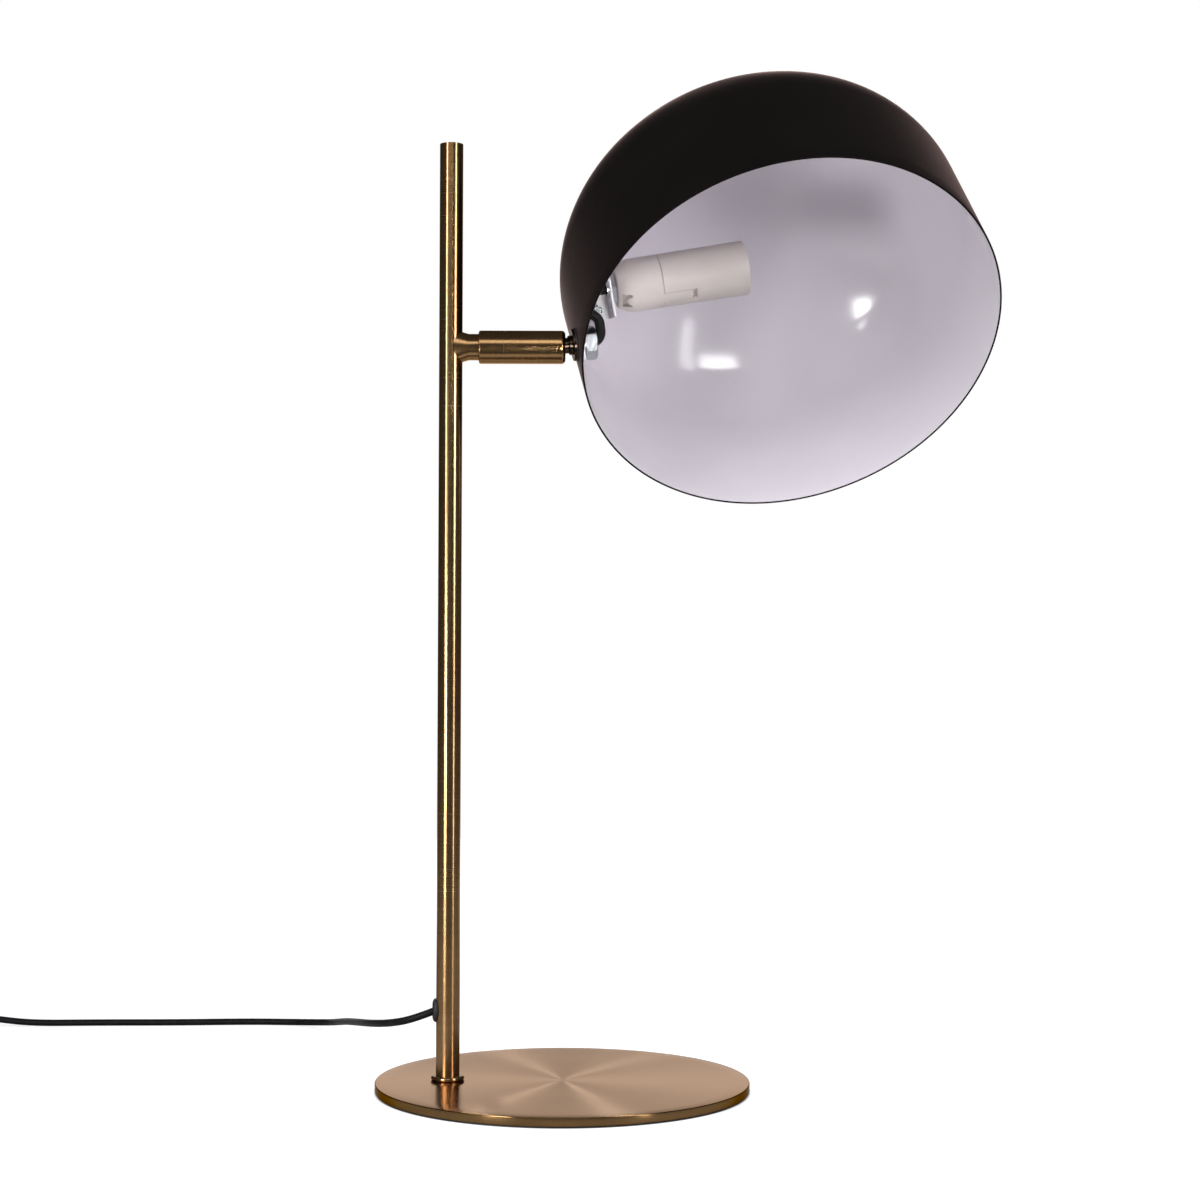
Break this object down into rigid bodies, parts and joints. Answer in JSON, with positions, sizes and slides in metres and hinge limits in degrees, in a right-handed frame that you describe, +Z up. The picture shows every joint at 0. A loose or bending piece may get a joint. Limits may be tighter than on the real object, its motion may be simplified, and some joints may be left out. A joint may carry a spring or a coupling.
{
  "type": "desk lamp",
  "caption": "Desk lamp: round brass base, off-centre post, short arm with a swivel and ball joint, and a deep black shade, white inside, round a small screw lampholder.",
  "frame": {"origin": "centre of the base disc, on the surface that the lamp stands on", "axes": "+Z up along the post, +X from the post towards the shade, +Y away from the viewer of the picture"},
  "size_m": [0.7681, 0.2985, 0.522],
  "materials": {
    "aged_brass": "satin",
    "plated_steel": "satin",
    "plain_brass": "satin",
    "zinc_steel": "satin",
    "spring_steel": "satin",
    "painted_aluminium": "satin",
    "white_steel": "satin",
    "black_rubber": "matte",
    "bearing_plastic": "satin",
    "cord_plastic": "satin",
    "sleeve_plastic": "satin",
    "black_plastic": "satin",
    "rocker_plastic": "gloss",
    "ivory_plastic": "satin",
    "carrier_plastic": "matte"
  },
  "bodies": {
    "stand": {"base_plate": "plated_steel", "base_pad": "black_rubber", "base_screw": "zinc_steel", "post_tube": "aged_brass", "post_cap": "aged_brass", "foot_insert": "zinc_steel", "foot_ring": "aged_brass", "cord_grommet": "black_rubber", "arm_neck": "aged_brass", "swivel_collar": "aged_brass", "stop_pin": "zinc_steel", "friction_washer": "bearing_plastic", "retaining_ring": "spring_steel", "post_lead": "cord_plastic", "lead_run": "cord_plastic", "lead_link": "cord_plastic", "lead_coil": "cord_plastic", "lead_tail": "cord_plastic", "switch_lower": "black_plastic", "switch_upper": "black_plastic", "switch_screws": "zinc_steel", "switch_relief_in": "black_rubber", "switch_relief_out": "black_rubber", "plug_body": "black_plastic", "plug_pins": "plain_brass", "pin_sleeves": "black_plastic"},
    "barrel": {"swivel_barrel": "aged_brass", "barrel_bush": "bearing_plastic", "spacer_sleeve": "plain_brass", "disc_springs": "spring_steel", "thrust_cup": "bearing_plastic", "barrel_lead": "cord_plastic"},
    "shade": {"ball_stem": "aged_brass", "shade_flange": "aged_brass", "flange_gasket": "black_rubber", "shade_shell": "painted_aluminium", "lock_washer": "zinc_steel", "spring_washer": "zinc_steel", "stem_nut": "zinc_steel", "lamp_bracket": "white_steel", "earth_screw": "zinc_steel", "holder_nipple": "zinc_steel", "holder_nut": "zinc_steel", "holder_dome": "ivory_plastic", "holder_skirt": "ivory_plastic", "contact_carrier": "carrier_plastic", "terminal_screws": "plain_brass", "side_contact": "plain_brass", "centre_contact": "plain_brass", "stem_lead": "cord_plastic", "lamp_lead": "sleeve_plastic"},
    "rocker": {"switch_rocker": "rocker_plastic"}
  },
  "joints": [
    {"name": "shade_turn", "type": "hinge", "parent": "stand", "child": "barrel", "pos_m": [-0.007, 0, 0.3786], "axis": [1, 0, 0], "range_deg": [-120.5, 209.5]},
    {"name": "shade_tilt", "type": "hinge", "parent": "barrel", "child": "shade", "pos_m": [-0.007, 0, 0.3786], "axis": [0, -0.7132, 0.7009], "range_deg": [-24.1, 3.9]},
    {"name": "rocker", "type": "hinge", "parent": "stand", "child": "rocker", "pos_m": [-0.407, 0.1905, 0.0095], "axis": [0, 1, 0], "range_deg": [-14, 0]}
  ]
}
